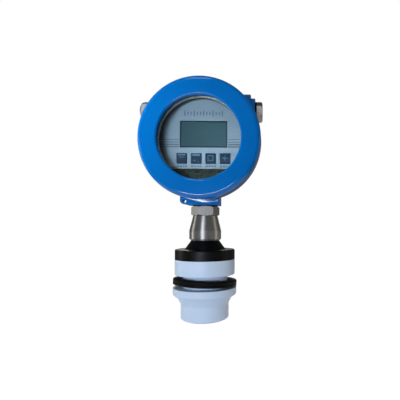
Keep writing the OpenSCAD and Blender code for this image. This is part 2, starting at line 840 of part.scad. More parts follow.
module transducer_cap() {
    color("#17181A") rotate_extrude() difference() {
        union() {
            difference() {
                band(0, collar_d / 2, collar_top, shoulder_z);
                round_off(collar_d / 2, shoulder_z, brim_round, 1, 1);
            }
            polygon([[0, shoulder_z], [cap_cone_d / 2, shoulder_z], [cap_top_d / 2, cap_top], [0, cap_top]]);
            band(0, sensor_r - fit_gap, collar_top - 5, collar_top);
        }
        band(-1, thread_r + fit_gap, cap_top - stud_reach - fit_gap, cap_top + 1);
        band(-1, stem_bore_d / 2, collar_top - 6, cap_top);
    }
}

module cap_o_ring() {
    color("#161616") rotate_extrude() translate([sensor_r + 1.4, collar_top - 1.4]) circle(d = 2.2);
}

module sensor_body() {
    color("#E9EEF4") rotate_extrude() difference() {
        union() {
            band(0, neck_r, 0, neck_h);
            difference() {
                band(0, collar_d / 2, neck_h, collar_top);
                round_off(collar_d / 2, neck_h, white_round, 1, -1);
            }
        }
        round_off(neck_r, 0, 1.5, 1, -1);
        band(-1, sensor_r, membrane_t, collar_top + trim);
        band(0, sensor_r + 2.8, collar_top - 2.8, collar_top + trim);
    }
}

module matching_layer() {
    color("#D8CFA8") translate([0, 0, membrane_t]) cylinder(r = sensor_r - fit_gap, h = matching_t);
}

module piezo_disc() {
    color("#C8BFA6") translate([0, 0, membrane_t + matching_t]) cylinder(d = piezo_d, h = piezo_t);
}

module damping_block() {
    color("#5A4A3A") translate([0, 0, membrane_t + matching_t]) difference() {
        cylinder(r = sensor_r - fit_gap, h = piezo_t + damping_h);
        translate([0, 0, -1]) cylinder(d = piezo_d + 2 * fit_gap, h = piezo_t + 1);
        translate([sensor_bore_d / 2 - probe_inset, 0, piezo_t + damping_h - probe_sink])
            cylinder(d = probe_d + 2 * fit_gap, h = probe_sink + trim);
    }
}

module temperature_probe() {
    color("#B9BDC1") translate([sensor_bore_d / 2 - probe_inset, 0, damping_top - probe_sink]) {
        cylinder(d = probe_d, h = probe_h);
    }
}

// Mounting nut and the loose sealing ring that rests on it

module sealing_ring() {
    color("#17181A") translate([0, 0, flange_top + ring_lift]) rotate([0, 0, ring_turn])
    rotate([0, ring_tilt, 0]) rotate_extrude()
    difference() {
        band(ring_r, ring_d / 2, 0, ring_h);
        round_off(ring_d / 2, 0, 1, 1, -1);
        round_off(ring_d / 2, ring_h, 1.6, 1, 1);
    }
}

module mounting_nut() {
    color("#E9EEF4") rotate_extrude() difference() {
        union() {
            band(nut_bore_r, sleeve_d / 2, sleeve_lift, flange_top);
            difference() {
                band(nut_bore_r, flange_d / 2, flange_top - flange_h, flange_top);
                round_off(flange_d / 2, flange_top, white_round, 1, 1);
                round_off(flange_d / 2, flange_top - flange_h, 2.6, 1, -1);
            }
            polygon([[nut_bore_r, flange_top - flange_h - flange_cone_h],
                [sleeve_d / 2, flange_top - flange_h - flange_cone_h],
                [sleeve_d / 2 + flange_cone_w, flange_top - flange_h + trim],
                [nut_bore_r, flange_top - flange_h + trim]]);
        }
        polygon([[sleeve_d / 2 - 1, sleeve_lift - 0.1], [sleeve_d / 2 + 0.1, sleeve_lift - 0.1],
            [sleeve_d / 2 + 0.1, sleeve_lift + 1]]);
    }
}

housing();
front_cover();
cover_o_ring();
window_gasket();
window_glass();
glass_retainer();
faceplate();
lcd_frame();
lcd_panel();
key_1();
key_2();
key_3();
key_4();
key_switches();
plate_spacers();
display_board();
board_header();
board_standoffs();
main_board();
terminal_block();
terminal_screws();
pulse_transformer();
board_capacitors();
sensor_socket();
sensor_cable();
gland_body();
gland_washer();
gland_seal();
gland_cap();
blind_plug();
plug_washer();
neck_set_screw();
neck_washer();
lock_nut();
stem_adapter();
transducer_cap();
cap_o_ring();
sensor_body();
matching_layer();
piezo_disc();
damping_block();
temperature_probe();
sealing_ring();
mounting_nut();
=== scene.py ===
import math

import bmesh
import bpy
from mathutils import Matrix, Vector


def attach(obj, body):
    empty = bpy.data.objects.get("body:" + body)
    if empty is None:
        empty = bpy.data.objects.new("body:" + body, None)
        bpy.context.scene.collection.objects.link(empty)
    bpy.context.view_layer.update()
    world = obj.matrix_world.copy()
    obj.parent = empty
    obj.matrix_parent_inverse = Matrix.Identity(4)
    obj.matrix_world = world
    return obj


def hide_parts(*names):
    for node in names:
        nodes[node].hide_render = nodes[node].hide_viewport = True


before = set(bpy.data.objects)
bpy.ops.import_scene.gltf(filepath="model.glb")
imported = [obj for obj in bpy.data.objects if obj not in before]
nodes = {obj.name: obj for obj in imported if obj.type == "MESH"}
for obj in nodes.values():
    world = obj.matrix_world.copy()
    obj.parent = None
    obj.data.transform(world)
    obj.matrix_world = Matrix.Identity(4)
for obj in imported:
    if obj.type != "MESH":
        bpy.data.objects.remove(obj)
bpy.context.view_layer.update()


# Sensor body. A white fluoroplastic turning: the flat foot is the sensing face, the neck
# above it carries a 2 mm thread, and the collar on top is the shoulder that stops the nut.
# It is turned from bar, so fine rings run round it under a soft, waxy gloss.

mm = 0.001
# Points as near as this touch, and points as near as the second are the same.
near = 0.001 * mm
same = 0.0001 * mm

neck_radius = 22.9
thread_crest = 24.0
thread_sink = 0.05
thread_lead = 2.0
thread_low = 1.4
thread_high = 44.6
relief_radius = 23.3
relief_low = 45.4
collar_radius = 31.85
collar_low = 48.1
collar_top = 64.2


def linear(colour):
    """An sRGB hex colour as linear RGBA."""
    parts = [int(colour[i:i + 2], 16) / 255 for i in (1, 3, 5)]
    parts = [c / 12.92 if c <= 0.04045 else ((c + 0.055) / 1.055) ** 2.4 for c in parts]
    return (*parts, 1.0)


def wire(tree, node, inputs):
    """Sets a node's inputs to values, or links them to other nodes' outputs."""
    for name, value in inputs.items():
        if isinstance(value, bpy.types.NodeSocket):
            tree.links.new(value, node.inputs[name])
        else:
            node.inputs[name].default_value = value


def add(tree, kind, inputs, **settings):
    """Adds a node with its settings and links."""
    node = tree.nodes.new(kind)
    for name, value in settings.items():
        setattr(node, name, value)
    wire(tree, node, inputs)
    return node


def new_material(name, sockets):
    """A material of one Principled shader with these constant sockets."""
    material = bpy.data.materials.new(name)
    material.use_nodes = True
    tree = material.node_tree
    shader = tree.nodes["Principled BSDF"]
    wire(tree, shader, sockets)
    return material, tree, shader


def per_metre(size):
    """The scale of a pattern whose features are so many mm across."""
    return 1 / (size * mm)


def turned(corners, steps=160):
    """A closed outline of (radius, height, rounding) corners in mm, spun about Z."""
    bm = bmesh.new()
    points = [bm.verts.new((radius * mm, 0, height * mm)) for radius, height, rounding in corners]
    bm.faces.new(points)
    for point, (radius, height, rounding) in zip(points, corners):
        if rounding > 0:
            bmesh.ops.bevel(bm, geom=[point], offset=rounding * mm, offset_type="OFFSET", segments=6,
                            profile=0.5, affect="VERTICES", material=-1)
    bmesh.ops.delete(bm, geom=bm.faces[:], context="FACES_ONLY")
    on_axis = [edge for edge in bm.edges if all(vert.co.x < near for vert in edge.verts)]
    bmesh.ops.delete(bm, geom=on_axis, context="EDGES")
    bmesh.ops.spin(bm, geom=bm.verts[:] + bm.edges[:], cent=(0, 0, 0), axis=(0, 0, 1),
                   angle=2 * math.pi, steps=steps, use_merge=True)
    bmesh.ops.remove_doubles(bm, verts=bm.verts[:], dist=same)
    bmesh.ops.recalc_face_normals(bm, faces=bm.faces[:])
    return bm


def thread(root, crest, lead, low, high, steps=96):
    """A helical thread in mm: one lead of outline spun upwards turn by turn, cut flat at both ends."""
    bm = bmesh.new()
    spare_turns = 2
    start = low - spare_turns * lead
    # Root, flank, crest, flank and root, with their heights as shares of the lead.
    outline = [(root, 0.0), (root, 0.14), (crest, 0.44), (crest, 0.58), (root, 0.88), (root, 1.0)]
    points = [bm.verts.new((radius * mm, 0, (start + share * lead) * mm)) for radius, share in outline]
    edges = [bm.edges.new(pair) for pair in zip(points, points[1:])]
    turns = math.ceil((high - low) / lead) + 2 * spare_turns
    bmesh.ops.spin(bm, geom=points + edges, cent=(0, 0, 0), axis=(0, 0, 1),
                   dvec=(0, 0, lead * mm / steps), angle=2 * math.pi * turns, steps=steps * turns)
    bmesh.ops.remove_doubles(bm, verts=bm.verts[:], dist=near)
    for height, way in ((low, -1), (high, 1)):
        everything = bm.verts[:] + bm.edges[:] + bm.faces[:]
        bmesh.ops.bisect_plane(bm, geom=everything, dist=same, plane_co=(0, 0, height * mm),
                               plane_no=(0, 0, way), clear_outer=True)
    ends = [edge for edge in bm.edges if edge.is_boundary]
    bmesh.ops.holes_fill(bm, edges=ends, sides=0)
    bmesh.ops.recalc_face_normals(bm, faces=bm.faces[:])
    return bm


def join(bm, other):
    """Adds another bmesh to this one and frees it."""
    spare = bpy.data.meshes.new("spare")
    other.to_mesh(spare)
    other.free()
    bm.from_mesh(spare)
    bpy.data.meshes.remove(spare)


def make_piece(name, bm, material, body, slot, *replaced, sharp=35, rounded=True):
    """Turns a bmesh into a piece that rides on a body and stands for CAD nodes; the slot is not used."""
    mesh = bpy.data.meshes.new(name)
    bm.to_mesh(mesh)
    bm.free()
    mesh.shade_smooth()
    mesh.set_sharp_from_angle(angle=math.radians(sharp))
    mesh.materials.append(material)
    piece = bpy.data.objects.new(name, mesh)
    bpy.context.scene.collection.objects.link(piece)
    if rounded:
        normals = piece.modifiers.new("flat faces stay flat", "WEIGHTED_NORMAL")
        normals.keep_sharp = True
    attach(piece, body)
    if replaced:
        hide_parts(*replaced)


# The mix node's sockets when it mixes colours: its share, its two colours and the colour it gives.
mix_share = 0
mix_first = 6
mix_second = 7
mix_colour = 2

# Noise keeps mostly to the middle of its range, so that part is taken as the whole.
noise_middle = {"From Min": 0.3, "From Max": 0.7}

# White fluoroplastic, turned: a pale cool white with a waxy gloss, and rings left by the tool.
fluoroplastic, tree, shader = new_material("white_fluoroplastic", {
    "IOR": 1.38, "Subsurface Weight": 0.12, "Subsurface Radius": (1.0, 1.0, 1.0),
    "Subsurface Scale": 2 * mm})
place = add(tree, "ShaderNodeTexCoord", {})
# Tool rings 1.1 mm apart, coarser than the real feed so that they show, and clouds of 17 mm.
rings = add(tree, "ShaderNodeMapping", {
    "Vector": place.outputs["Object"], "Scale": (per_metre(250), per_metre(250), per_metre(1.11))})
ring_noise = add(tree, "ShaderNodeTexNoise", {"Vector": rings.outputs[0], "Scale": 1.0, "Detail": 3.0})
cloud = add(tree, "ShaderNodeTexNoise", {
    "Vector": place.outputs["Object"], "Scale": per_metre(16.7), "Detail": 3.0})
tint = add(tree, "ShaderNodeMix", {
    mix_share: cloud.outputs[0], mix_first: linear("#C6DAF0"), mix_second: linear("#D3E3F4")},
    data_type="RGBA")
gloss = add(tree, "ShaderNodeMapRange", {
    "Value": ring_noise.outputs[0], **noise_middle, "To Min": 0.36, "To Max": 0.5})
bump = add(tree, "ShaderNodeBump", {
    "Height": ring_noise.outputs[0], "Strength": 0.06, "Distance": 0.2 * mm})
wire(tree, shader, {"Base Color": tint.outputs[mix_colour], "Roughness": gloss.outputs[0],
                    "Normal": bump.outputs[0]})

sensor = turned([(0, 0, 0), (neck_radius, 0, 0.8), (neck_radius, thread_high, 0),
                 (relief_radius, relief_low, 0), (relief_radius, collar_low, 0.5),
                 (collar_radius, collar_low, 0.5), (collar_radius, collar_top, 0.3), (0, collar_top, 0)])
join(sensor, thread(neck_radius - thread_sink, thread_crest, thread_lead, thread_low, thread_high))
make_piece("sensor_body_turned", sensor, fluoroplastic, "frame", "white_plastic", "sensor_body")


# Transducer stack. A matching layer, the ceramic disc and the damping block are potted in the
# sensor body, with a temperature probe beside them. All of it is hidden once the cap is on.

def dress(material, *names):
    """Gives CAD nodes a material."""
    for name in names:
        nodes[name].data.materials.clear()
        nodes[name].data.materials.append(material)


# Syntactic foam, machined: a matt straw colour, pitted by cut glass bubbles of about 0.5 mm.
syntactic_foam, tree, shader = new_material("syntactic_foam", {
    "Base Color": linear("#D8CFA8"), "Roughness": 0.8})
place = add(tree, "ShaderNodeTexCoord", {})
bubbles = add(tree, "ShaderNodeTexVoronoi", {"Vector": place.outputs["Object"], "Scale": per_metre(0.5)})
bump = add(tree, "ShaderNodeBump", {"Height": bubbles.outputs[0], "Strength": 0.3, "Distance": 0.2 * mm})
wire(tree, shader, {"Normal": bump.outputs[0]})
dress(syntactic_foam, "matching_layer")

# Fired ceramic, silvered thinly: a warm satin with paler flecks of 2.5 mm.
fired_ceramic, tree, shader = new_material("fired_ceramic", {"Roughness": 0.35})
place = add(tree, "ShaderNodeTexCoord", {})
silver = add(tree, "ShaderNodeTexNoise", {
    "Vector": place.outputs["Object"], "Scale": per_metre(2.5), "Detail": 4.0})
tint = add(tree, "ShaderNodeMix", {
    mix_share: silver.outputs[0], mix_first: linear("#BFB59A"), mix_second: linear("#D6CFBB")},
    data_type="RGBA")
wire(tree, shader, {"Base Color": tint.outputs[mix_colour]})
dress(fired_ceramic, "piezo_disc")

# Potting resin, cast: a dull brown, mottled by its heavy filler in specks of 1.1 mm.
potting_resin, tree, shader = new_material("potting_resin", {"Roughness": 0.5})
place = add(tree, "ShaderNodeTexCoord", {})
filler = add(tree, "ShaderNodeTexNoise", {
    "Vector": place.outputs["Object"], "Scale": per_metre(1.11), "Detail": 4.0})
tint = add(tree, "ShaderNodeMix", {
    mix_share: filler.outputs[0], mix_first: linear("#3B2F28"), mix_second: linear("#5C4B3D")},
    data_type="RGBA")
wire(tree, shader, {"Base Color": tint.outputs[mix_colour]})
dress(potting_resin, "damping_block")


# Transducer cap. A black glass-filled plastic moulding with a deep brim and a cone, pressed on
# the collar over a seal ring. Its skin is satin, with the fine grain of a spark-eroded mould.

brim_top = 74.8
cone_foot_radius = 21.7
cone_top_radius = 14.5
cone_top = 84.8

# Glass-filled plastic, moulded: a deep black satin, with spark grain of 0.4 mm and wear of 11 mm.
black_moulding, tree, shader = new_material("black_glass_filled_plastic", {
    "IOR": 1.5, "Specular IOR Level": 0.13})
place = add(tree, "ShaderNodeTexCoord", {})
grain = add(tree, "ShaderNodeTexNoise", {
    "Vector": place.outputs["Object"], "Scale": per_metre(0.4), "Detail": 2.0})
wear = add(tree, "ShaderNodeTexNoise", {
    "Vector": place.outputs["Object"], "Scale": per_metre(11.1), "Detail": 4.0})
gloss = add(tree, "ShaderNodeMapRange", {
    "Value": wear.outputs[0], **noise_middle, "To Min": 0.34, "To Max": 0.46})
tint = add(tree, "ShaderNodeMix", {
    mix_share: wear.outputs[0], mix_first: linear("#030405"), mix_second: linear("#060708")},
    data_type="RGBA")
bump = add(tree, "ShaderNodeBump", {"Height": grain.outputs[0], "Strength": 0.15, "Distance": 0.1 * mm})
wire(tree, shader, {"Base Color": tint.outputs[mix_colour], "Roughness": gloss.outputs[0],
                    "Normal": bump.outputs[0]})

cap = turned([(0, collar_top, 0), (collar_radius, collar_top, 0.3), (collar_radius, brim_top, 1.2),
              (cone_foot_radius, brim_top, 1.0), (cone_top_radius, cone_top, 0.4), (0, cone_top, 0)])
make_piece("transducer_cap_moulded", cap, black_moulding, "frame", "black_plastic", "transducer_cap")

# Rubber, moulded: a flat black, clouded by bloom in patches of 8 mm over a grain of 0.33 mm.
black_rubber, tree, shader = new_material("black_rubber", {"IOR": 1.5, "Specular IOR Level": 0.08})
place = add(tree, "ShaderNodeTexCoord", {})
bloom = add(tree, "ShaderNodeTexNoise", {
    "Vector": place.outputs["Object"], "Scale": per_metre(8.3), "Detail": 5.0})
grain = add(tree, "ShaderNodeTexNoise", {
    "Vector": place.outputs["Object"], "Scale": per_metre(0.33), "Detail": 1.0})
tint = add(tree, "ShaderNodeMix", {
    mix_share: bloom.outputs[0], mix_first: linear("#050607"), mix_second: linear("#0B0C0D")},
    data_type="RGBA")
gloss = add(tree, "ShaderNodeMapRange", {
    "Value": bloom.outputs[0], **noise_middle, "To Min": 0.45, "To Max": 0.65})
bump = add(tree, "ShaderNodeBump", {"Height": grain.outputs[0], "Strength": 0.12, "Distance": 0.1 * mm})
wire(tree, shader, {"Base Color": tint.outputs[mix_colour], "Roughness": gloss.outputs[0],
                    "Normal": bump.outputs[0]})
dress(black_rubber, "cap_o_ring", "neck_washer")


# Stem. A stainless adapter joins the sensor to the head: a plain band, a taper and a threaded
# spigot, with a hexagon lock nut run up against the housing. The adapter is turned and left
# bright, and the nut is cut from rolled bar.

adapter_foot = 76
adapter_seat_radius = 15.75
band_radius = 16.95
band_low = 86
band_top = 94.6
taper_radius = 13.0
taper_top = 110.6
spigot_radius = 10
spigot_low = 110.8
spigot_top = 134

# Stainless steel, turned: bright and warm grey, its gloss drawn into upright streaks by tool rings
# 0.45 mm apart, coarser than the real feed so that they show.
turned_steel, tree, shader = new_material("turned_stainless_steel", {
    "Metallic": 1.0, "Anisotropic": 0.95, "Anisotropic Rotation": 0.25})
place = add(tree, "ShaderNodeTexCoord", {})
rings = add(tree, "ShaderNodeMapping", {
    "Vector": place.outputs["Object"], "Scale": (per_metre(250), per_metre(250), per_metre(0.4545))})
ring_noise = add(tree, "ShaderNodeTexNoise", {"Vector": rings.outputs[0], "Scale": 1.0, "Detail": 2.0})
tint = add(tree, "ShaderNodeMix", {
    mix_share: ring_noise.outputs[0], mix_first: linear("#9A9893"), mix_second: linear("#BDBBB7")},
    data_type="RGBA")
gloss = add(tree, "ShaderNodeMapRange", {
    "Value": ring_noise.outputs[0], **noise_middle, "To Min": 0.4, "To Max": 0.5})
bump = add(tree, "ShaderNodeBump", {
    "Height": ring_noise.outputs[0], "Strength": 0.03, "Distance": 0.1 * mm})
wire(tree, shader, {"Base Color": tint.outputs[mix_colour], "Roughness": gloss.outputs[0],
                    "Normal": bump.outputs[0]})
dress(turned_steel, "temperature_probe", "terminal_screws", "neck_set_screw")

adapter = turned([(0, adapter_foot, 0), (adapter_seat_radius, cone_top, 0.2), (band_radius, band_low, 0.3),
                  (band_radius, band_top, 0.6), (taper_radius, taper_top, 0.4),
                  (spigot_radius, spigot_low, 0), (spigot_radius, spigot_top, 0), (0, spigot_top, 0)])
make_piece("stem_adapter_turned", adapter, turned_steel, "frame", "steel", "stem_adapter")


def merged(node, edge=0.0):
    """A merged copy of a CAD node's mesh, with a small round in mm on its sharp edges."""
    flat_angle = math.radians(0.5)
    sharp_angle = math.radians(25)
    bm = bmesh.new()
    bm.from_mesh(nodes[node].data)
    bmesh.ops.remove_doubles(bm, verts=bm.verts[:], dist=2 * near)
    bmesh.ops.dissolve_limit(bm, angle_limit=flat_angle, verts=bm.verts[:], edges=bm.edges[:])
    if edge:
        closed = [line for line in bm.edges if len(line.link_faces) == 2]
        sharp = [line for line in closed if line.calc_face_angle() > sharp_angle]
        bmesh.ops.bevel(bm, geom=sharp, offset=edge * mm, offset_type="OFFSET", segments=2, profile=0.5,
                        affect="EDGES", clamp_overlap=True, material=-1)
    return bm


# Stainless bar, rolled: softer than the turned faces, with fine upright lines 1.1 mm apart and
# 17 mm long, coarser than the real ones so that they show.
rolled_steel, tree, shader = new_material("rolled_stainless_steel", {"Metallic": 1.0, "Roughness": 0.46})
place = add(tree, "ShaderNodeTexCoord", {})
lines = add(tree, "ShaderNodeMapping", {
    "Vector": place.outputs["Object"], "Scale": (per_metre(1.11), per_metre(1.11), per_metre(16.7))})
line_noise = add(tree, "ShaderNodeTexNoise", {"Vector": lines.outputs[0], "Scale": 1.0, "Detail": 3.0})
tint = add(tree, "ShaderNodeMix", {
    mix_share: line_noise.outputs[0], mix_first: linear("#928F89"), mix_second: linear("#B2AFA9")},
    data_type="RGBA")
bump = add(tree, "ShaderNodeBump", {
    "Height": line_noise.outputs[0], "Strength": 0.15, "Distance": 0.1 * mm})
wire(tree, shader, {"Base Color": tint.outputs[mix_colour], "Normal": bump.outputs[0]})
make_piece("lock_nut_hexagon", merged("lock_nut", 0.25), rolled_steel, "frame", "steel", "lock_nut")


# Housing. One aluminium die casting: the round case, the cross tube with the two cable entries,
# the neck block and the tag ear. It is powder coated blue, glossy with a faint orange peel.

head_z = 186.4
# The head's own frame: its Z comes out of the display, its Y goes up.
head = Matrix.Translation((0, 0, head_z * mm)) @ Matrix.Rotation(math.pi / 2, 4, "X")

# Powder coat, baked: a clear deep blue under a hard gloss, with orange peel of 2.5 mm and a
# colour that drifts slightly over some 40 mm.
blue_coat, tree, shader = new_material("blue_powder_coat", {"IOR": 1.5, "Specular IOR Level": 0.32})
place = add(tree, "ShaderNodeTexCoord", {})
peel = add(tree, "ShaderNodeTexNoise", {
    "Vector": place.outputs["Object"], "Scale": per_metre(2.5), "Detail": 1.0})
drift = add(tree, "ShaderNodeTexNoise", {
    "Vector": place.outputs["Object"], "Scale": per_metre(40), "Detail": 2.0})
tint = add(tree, "ShaderNodeMix", {
    mix_share: drift.outputs[0], mix_first: linear("#005DA4"), mix_second: linear("#0066B2")},
    data_type="RGBA")
gloss = add(tree, "ShaderNodeMapRange", {
    "Value": drift.outputs[0], **noise_middle, "To Min": 0.06, "To Max": 0.1})
bump = add(tree, "ShaderNodeBump", {"Height": peel.outputs[0], "Strength": 0.08, "Distance": 0.2 * mm})
wire(tree, shader, {"Base Color": tint.outputs[mix_colour], "Roughness": gloss.outputs[0],
                    "Normal": bump.outputs[0]})

make_piece("housing_casting", merged("housing"), blue_coat, "frame", "blue_paint", "housing",
           sharp=15, rounded=False)


# Boards. Two green glass-fibre boards on brass pillars: the display board right behind the
# faceplate, and the main board with terminals, transformer and capacitors behind it.

# Solder mask, printed on glass fibre: a dark green gloss, with copper tracks on a 2.5 mm grid
# that show as slightly paler lines.
solder_mask, tree, shader = new_material("green_solder_mask", {"Roughness": 0.3, "Specular IOR Level": 0.2})
place = add(tree, "ShaderNodeTexCoord", {})
tracks = add(tree, "ShaderNodeTexBrick", {
    "Vector": place.outputs["Object"], "Color1": linear("#071D11"), "Color2": linear("#0A2416"),
    "Mortar": linear("#14351F"), "Scale": per_metre(5), "Mortar Size": 0.06, "Brick Width": 0.9,
    "Row Height": 0.5})
wire(tree, shader, {"Base Color": tracks.outputs[0]})
dress(solder_mask, "display_board", "main_board")

# Brass, turned: a warm yellow metal, brighter and duller in streaks of 1.1 mm.
turned_brass, tree, shader = new_material("turned_brass", {"Base Color": linear("#B08D4A"), "Metallic": 1.0})
place = add(tree, "ShaderNodeTexCoord", {})
streak = add(tree, "ShaderNodeTexNoise", {
    "Vector": place.outputs["Object"], "Scale": per_metre(1.11), "Detail": 2.0})
gloss = add(tree, "ShaderNodeMapRange", {
    "Value": streak.outputs[0], **noise_middle, "To Min": 0.22, "To Max": 0.4})
wire(tree, shader, {"Roughness": gloss.outputs[0]})
dress(turned_brass, "plate_spacers", "board_standoffs")

# Polyamide, moulded: a plain mid green with a satin mould grain of 0.4 mm.
terminal_green, tree, shader = new_material("green_polyamide", {
    "Base Color": linear("#2F7D45"), "Roughness": 0.45})
place = add(tree, "ShaderNodeTexCoord", {})
grain = add(tree, "ShaderNodeTexNoise", {
    "Vector": place.outputs["Object"], "Scale": per_metre(0.4), "Detail": 2.0})
bump = add(tree, "ShaderNodeBump", {"Height": grain.outputs[0], "Strength": 0.15, "Distance": 0.1 * mm})
wire(tree, shader, {"Normal": bump.outputs[0]})
dress(terminal_green, "terminal_block")

# Ferrite, pressed and fired: a dull charcoal grey with a fine speckle of 0.56 mm.
ferrite, tree, shader = new_material("pressed_ferrite", {"Roughness": 0.6})
place = add(tree, "ShaderNodeTexCoord", {})
grain = add(tree, "ShaderNodeTexNoise", {
    "Vector": place.outputs["Object"], "Scale": per_metre(0.56), "Detail": 4.0})
tint = add(tree, "ShaderNodeMix", {
    mix_share: grain.outputs[0], mix_first: linear("#2E2E2F"), mix_second: linear("#474748")},
    data_type="RGBA")
wire(tree, shader, {"Base Color": tint.outputs[mix_colour]})
dress(ferrite, "pulse_transformer")

# Nylon, moulded: a creamy white with a satin mould grain of 0.4 mm.
nylon, tree, shader = new_material("cream_nylon", {"Base Color": linear("#E4E2DA"), "Roughness": 0.45})
place = add(tree, "ShaderNodeTexCoord", {})
grain = add(tree, "ShaderNodeTexNoise", {
    "Vector": place.outputs["Object"], "Scale": per_metre(0.4), "Detail": 2.0})
bump = add(tree, "ShaderNodeBump", {"Height": grain.outputs[0], "Strength": 0.1, "Distance": 0.1 * mm})
wire(tree, shader, {"Normal": bump.outputs[0]})
dress(nylon, "sensor_socket")

# Small parts soldered in the strip of the display board that shows under the faceplate, each at
# its place on the board, with its width, height and rise.
board_front = 10.5
chip_edge = 0.1
small_chip = (2.0, 1.3, 0.6)
middle_chip = (3.2, 1.6, 0.9)
wide_chip = (4.0, 2.0, 1.0)
large_chip = (5.0, 2.6, 1.2)
chip_places = [
    (-21, -30.4, middle_chip), (-13, -30.2, small_chip), (-6, -30.6, large_chip),
    (3, -30.1, small_chip), (9, -30.4, middle_chip), (17, -30.2, wide_chip),
    (-17, -33.6, small_chip), (-1, -34.4, middle_chip), (13, -33.8, small_chip),
]
chips = bmesh.new()
for x, y, (width, height, rise) in chip_places:
    size = Matrix.Diagonal((width * mm, height * mm, rise * mm, 1))
    spot = Matrix.Translation((x * mm, y * mm, (board_front + rise / 2) * mm))
    bmesh.ops.create_cube(chips, size=1, matrix=head @ spot @ size)
bmesh.ops.bevel(chips, geom=chips.edges[:], offset=chip_edge * mm, offset_type="OFFSET", segments=1,
                profile=0.5, affect="EDGES", material=-1)
make_piece("display_board_chips", chips, black_moulding, "frame", "black_plastic")

dress(black_moulding, "board_header", "board_capacitors", "key_switches", "sensor_cable")


# Display. A brushed aluminium faceplate with a straight lower edge frames a dark-rimmed panel
# and four square keys. Lines and marks are screen printed on it in dark ink.

plate_front = 17.0
key_front = 18.2
panel_x = 1.2

# Aluminium sheet, brushed across: a cool grey sheen that is drawn out sideways, with lines 14 mm
# long and 0.4 mm apart, coarser than the real grit so that they show.
brushed_plate, tree, shader = new_material("brushed_aluminium_sheet", {
    "Metallic": 0.8, "Specular IOR Level": 0.2, "Anisotropic": 0.8, "Anisotropic Rotation": 0.25})
place = add(tree, "ShaderNodeTexCoord", {})
brushed = add(tree, "ShaderNodeMapping", {
    "Vector": place.outputs["Object"], "Scale": (per_metre(14.3), per_metre(14.3), per_metre(0.4))})
brush_noise = add(tree, "ShaderNodeTexNoise", {"Vector": brushed.outputs[0], "Scale": 1.0, "Detail": 3.0})
tint = add(tree, "ShaderNodeMix", {
    mix_share: brush_noise.outputs[0], mix_first: linear("#566069"), mix_second: linear("#6A7681")},
    data_type="RGBA")
gloss = add(tree, "ShaderNodeMapRange", {
    "Value": brush_noise.outputs[0], **noise_middle, "To Min": 0.36, "To Max": 0.44})
along = add(tree, "ShaderNodeTangent", {}, direction_type="UV_MAP", uv_map="brush")
wire(tree, shader, {"Base Color": tint.outputs[mix_colour], "Roughness": gloss.outputs[0],
                    "Tangent": along.outputs[0]})

# The brush map runs along the plate, and gives the sheen its direction.
brush_tile = 100 * mm
plate = merged("faceplate", 0.2)
brush_map = plate.loops.layers.uv.new("brush")
for face in plate.faces:
    for loop in face.loops:
        loop[brush_map].uv = (loop.vert.co.x / brush_tile, loop.vert.co.z / brush_tile)
make_piece("faceplate_brushed", plate, brushed_plate, "frame", "brushed_plate", "faceplate")

# Aluminium, anodised dark: a blue-black satin rim with a faint grain of 0.67 mm.
dark_rim, tree, shader = new_material("dark_anodised_rim", {"Roughness": 0.35, "Specular IOR Level": 0.2})
place = add(tree, "ShaderNodeTexCoord", {})
grain = add(tree, "ShaderNodeTexNoise", {
    "Vector": place.outputs["Object"], "Scale": per_metre(0.67), "Detail": 2.0})
tint = add(tree, "ShaderNodeMix", {
    mix_share: grain.outputs[0], mix_first: linear("#0B1520"), mix_second: linear("#132030")},
    data_type="RGBA")
wire(tree, shader, {"Base Color": tint.outputs[mix_colour]})
make_piece("lcd_rim", merged("lcd_frame", 0.25), dark_rim, "frame", "dark_plastic", "lcd_frame")

# Liquid crystal glass, unlit: a smooth grey green, with picture dots 0.5 mm apart that only just show.
display_glass, tree, shader = new_material("liquid_crystal_glass", {
    "Roughness": 0.2, "IOR": 1.5, "Specular IOR Level": 0.2})
place = add(tree, "ShaderNodeTexCoord", {})
dots = add(tree, "ShaderNodeTexBrick", {
    "Vector": place.outputs["Object"], "Color1": linear("#30474F"), "Color2": linear("#314850"),
    "Mortar": linear("#354D55"), "Scale": per_metre(1), "Mortar Size": 0.04, "Brick Width": 0.5,
    "Row Height": 0.5},
    offset=0.0)
wire(tree, shader, {"Base Color": dots.outputs[0]})
dress(display_glass, "lcd_panel")

# Silicone, moulded: soft dark blue keys, slightly mottled in patches of 1.4 mm.
key_blue, tree, shader = new_material("blue_silicone", {"Roughness": 0.45, "Specular IOR Level": 0.15})
place = add(tree, "ShaderNodeTexCoord", {})
grain = add(tree, "ShaderNodeTexNoise", {
    "Vector": place.outputs["Object"], "Scale": per_metre(1.43), "Detail": 4.0})
tint = add(tree, "ShaderNodeMix", {
    mix_share: grain.outputs[0], mix_first: linear("#021B36"), mix_second: linear("#062744")},
    data_type="RGBA")
wire(tree, shader, {"Base Color": tint.outputs[mix_colour]})

# Teal bars on the keys: a muted teal, uneven in specks of 0.67 mm.
teal_key_bars, tree, shader = new_material("teal_key_bars", {"Roughness": 0.5})
place = add(tree, "ShaderNodeTexCoord", {})
grain = add(tree, "ShaderNodeTexNoise", {
    "Vector": place.outputs["Object"], "Scale": per_metre(0.67), "Detail": 2.0})
tint = add(tree, "ShaderNodeMix", {
    mix_share: grain.outputs[0], mix_first: linear("#1C4C60"), mix_second: linear("#265C70")},
    data_type="RGBA")
wire(tree, shader, {"Base Color": tint.outputs[mix_colour]})

